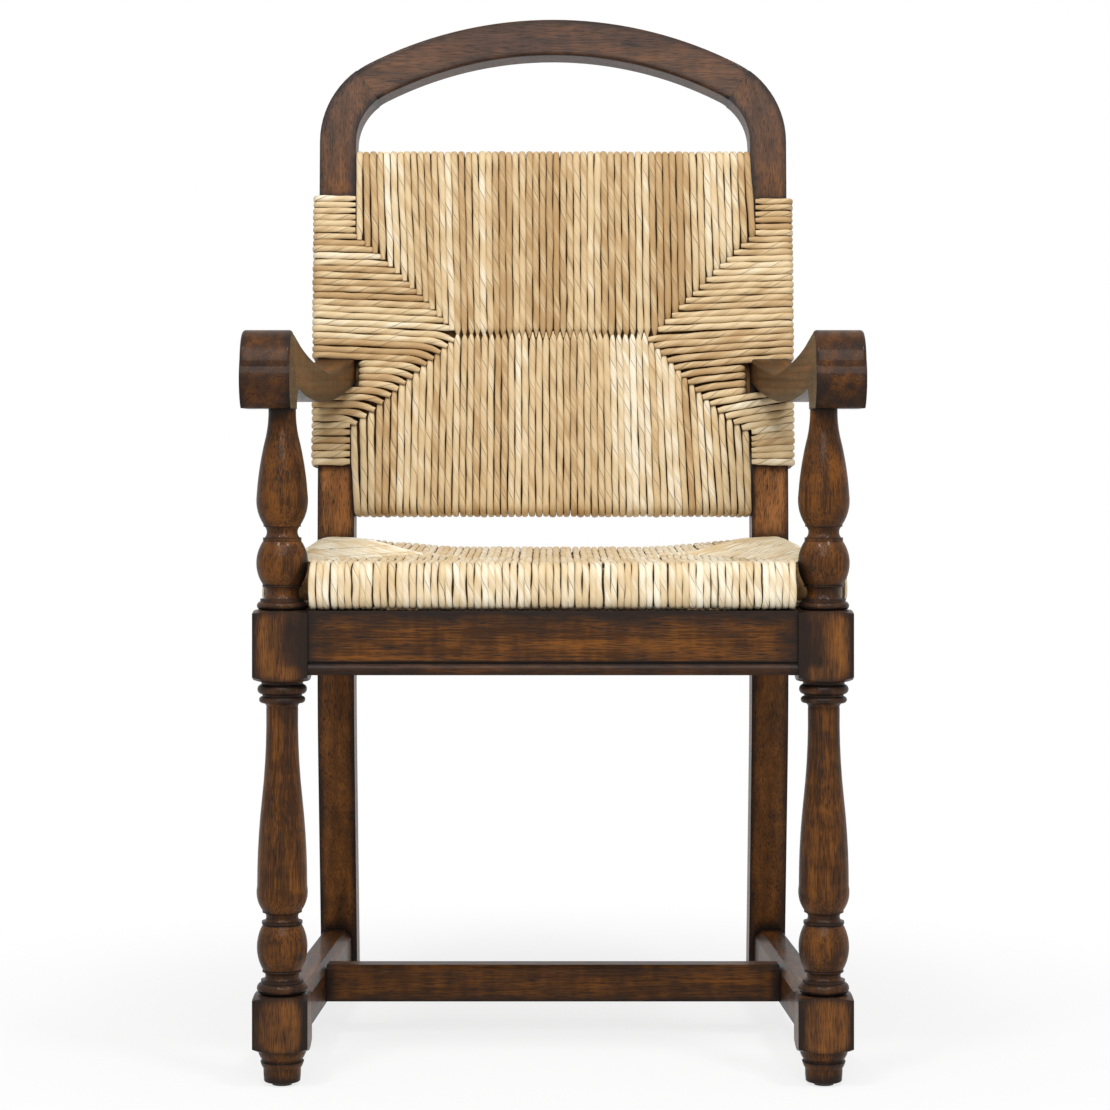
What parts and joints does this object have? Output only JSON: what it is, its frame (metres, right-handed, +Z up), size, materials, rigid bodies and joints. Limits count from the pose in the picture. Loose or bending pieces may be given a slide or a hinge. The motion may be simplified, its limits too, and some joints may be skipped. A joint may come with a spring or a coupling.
{
  "type": "dining armchair",
  "caption": "Dining armchair with turned front posts, swooped arms and an arched crest, its rush seat and back woven over a mortised wood frame",
  "frame": {"origin": "on the floor, under the middle of the chair's bounding box", "axes": "+X to the right of someone facing the chair, +Y to its back, +Z up; the front faces -Y"},
  "size_m": [0.56, 0.5377, 1.0301],
  "materials": {
    "stained_wood": "dark walnut stain, satin lacquer, darker glaze in grooves and along edges",
    "bare_wood": "sawn, unfinished",
    "rush_cord": "twisted rush cord, pale straw to tan",
    "packing": "loose dry rush",
    "screw_steel": "zinc plated",
    "glide_plastic": "moulded, dark brown"
  },
  "bodies": {
    "root": {"front_post_left": "stained_wood", "front_post_right": "stained_wood", "rear_post_left": "stained_wood", "rear_post_right": "stained_wood", "crest_rail": "stained_wood", "arm_left": "stained_wood", "arm_right": "stained_wood", "front_seat_rail": "stained_wood", "side_seat_rail_left": "stained_wood", "side_seat_rail_right": "stained_wood", "rear_seat_rail": "stained_wood", "side_stretcher_left": "stained_wood", "side_stretcher_right": "stained_wood", "cross_stretcher": "stained_wood", "upper_back_rail": "bare_wood", "lower_back_rail": "bare_wood", "seat_frame_front": "bare_wood", "seat_frame_rear": "bare_wood", "seat_frame_left": "bare_wood", "seat_frame_right": "bare_wood", "corner_block_front_left": "bare_wood", "corner_block_front_right": "bare_wood", "corner_block_rear_left": "bare_wood", "corner_block_rear_right": "bare_wood", "crest_dowels": "bare_wood", "seat_weave": "rush_cord", "back_weave": "rush_cord", "seat_stuffing": "packing", "back_stuffing": "packing", "seat_screws": "screw_steel", "foot_glides": "glide_plastic"}
  },
  "joints": []
}
